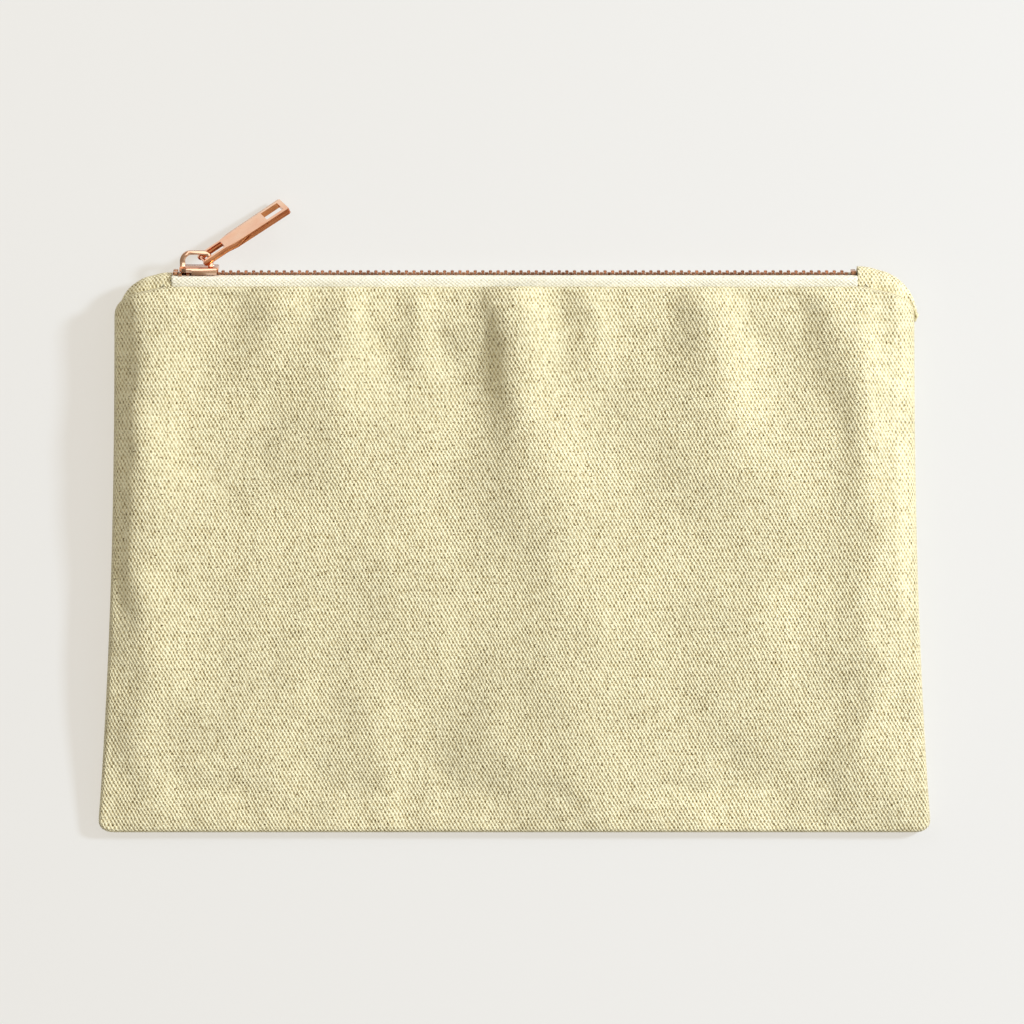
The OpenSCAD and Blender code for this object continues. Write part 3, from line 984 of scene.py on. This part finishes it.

# %% [markdown]

# %% [markdown]
# ## Table, light and camera
# A pale table, a key light from the upper right that throws a soft shadow to the
# left, and a plain warm room for fill. The table glows a little, so its shadow
# stays pale, and it lies a hair under the pouch. A panel overhead gives the flat
# metal something bright to reflect. The camera looks straight down.

# %% Table
TABLE_GLOW = 0.58
FLOOR_Z = -0.05
FLOOR_HALF = 3000
TABLE, TABLE_PALE = (0.235, 0.272, 0.325, 1), (0.245, 0.280, 0.335, 1)
GLOW = (1.0, 0.93, 0.83, 1)
bm = bmesh.new()
bmesh.ops.create_grid(bm, x_segments=1, y_segments=1, size=FLOOR_HALF)
for vert in bm.verts:
    vert.co.z = FLOOR_Z
    vert.co *= MM
mesh = bpy.data.meshes.new("floor")
bm.to_mesh(mesh)
bm.free()
floor = bpy.data.objects.new("floor", mesh)
bpy.context.scene.collection.objects.link(floor)
n = Nodes("pale_table")
where = n.add("TexCoord").outputs["Object"]
soft = n.noise(where, 3.0, 2.0)
n.surface(Base_Color=n.mix(soft, TABLE, TABLE_PALE), Roughness=0.55)
n.surface(Emission_Color=GLOW, Emission_Strength=TABLE_GLOW)
floor.data.materials.append(n.material)


# %% Lights
KEY_W = 23.0
SOFTBOX_W = 3.5
OVERHEAD_W = 1.8
ROOM_DIM = 0.08
ROOM_BRIGHT = 0.78


def area_light(name, place, aim, size, power, colour):
    data = bpy.data.lights.new(name, "AREA")
    data.size = size
    data.energy = power
    data.color = colour
    lamp = bpy.data.objects.new(name, data)
    lamp.location = place
    lamp.rotation_euler = (Vector(aim) - Vector(place)).to_track_quat("-Z", "Y").to_euler()
    bpy.context.scene.collection.objects.link(lamp)


area_light("key", (1.25, 0.5, 0.95), (0, 0, 0), 0.22, KEY_W, (0.97, 1.0, 1.0))
area_light("overhead", (0, 0, 1.75), (0, 0, 0), 0.7, OVERHEAD_W, (1.0, 1.0, 1.0))
area_light("softbox", (-0.9, 1.2, 1.3), (0, 0, 0), 1.2, SOFTBOX_W, (1.0, 0.95, 0.86))
area_light("warm_corner", (-0.3, 0.3, 0.4), (-0.2, 0.2, 0), 0.3, 0.12, (1.0, 0.86, 0.62))
area_light("cool_corner", (0.1, -0.35, 0.4), (0.1, -0.2, 0), 0.4, 0.16, (0.75, 0.9, 1.0))

# %% Room
ROOM_TURN = -25
ROOM_COLOUR = (1.0, 0.90, 0.72, 1)
world = bpy.data.worlds.new("room")
world.use_nodes = True
tree = world.node_tree
ways = tree.nodes.new("ShaderNodeTexCoord")
turn = tree.nodes.new("ShaderNodeMapping")
turn.inputs["Rotation"].default_value = (0, 0, math.radians(ROOM_TURN))
parts = tree.nodes.new("ShaderNodeSeparateXYZ")
side = tree.nodes.new("ShaderNodeMapRange")
side.inputs[1].default_value, side.inputs[2].default_value = -1.0, 1.0
side.inputs[3].default_value, side.inputs[4].default_value = ROOM_DIM, ROOM_BRIGHT
tree.links.new(ways.outputs["Generated"], turn.inputs["Vector"])
tree.links.new(turn.outputs["Vector"], parts.inputs[0])
tree.links.new(parts.outputs[0], side.inputs[0])
tree.links.new(side.outputs[0], tree.nodes["Background"].inputs["Strength"])
tree.nodes["Background"].inputs["Color"].default_value = ROOM_COLOUR
bpy.context.scene.world = world
print("room from", ROOM_DIM, "on the left to", ROOM_BRIGHT, "on the right")

# %% Camera
VIEW_W = 295.4
VIEW_X = -0.7
VIEW_Y = 11.5
LENS = 200.0
SENSOR = 36.0
MID_HEIGHT = 0.004
camera_data = bpy.data.cameras.new("camera")
camera_data.lens = LENS
camera_data.sensor_width = SENSOR
camera_data.clip_end = 20
camera = bpy.data.objects.new("camera", camera_data)
camera.location = (VIEW_X * MM, VIEW_Y * MM, VIEW_W * MM * LENS / SENSOR + MID_HEIGHT)
bpy.context.scene.collection.objects.link(camera)
bpy.context.scene.camera = camera
bpy.context.scene.view_settings.view_transform = "Standard"
print("camera height, m:", round(camera.location.z, 3))
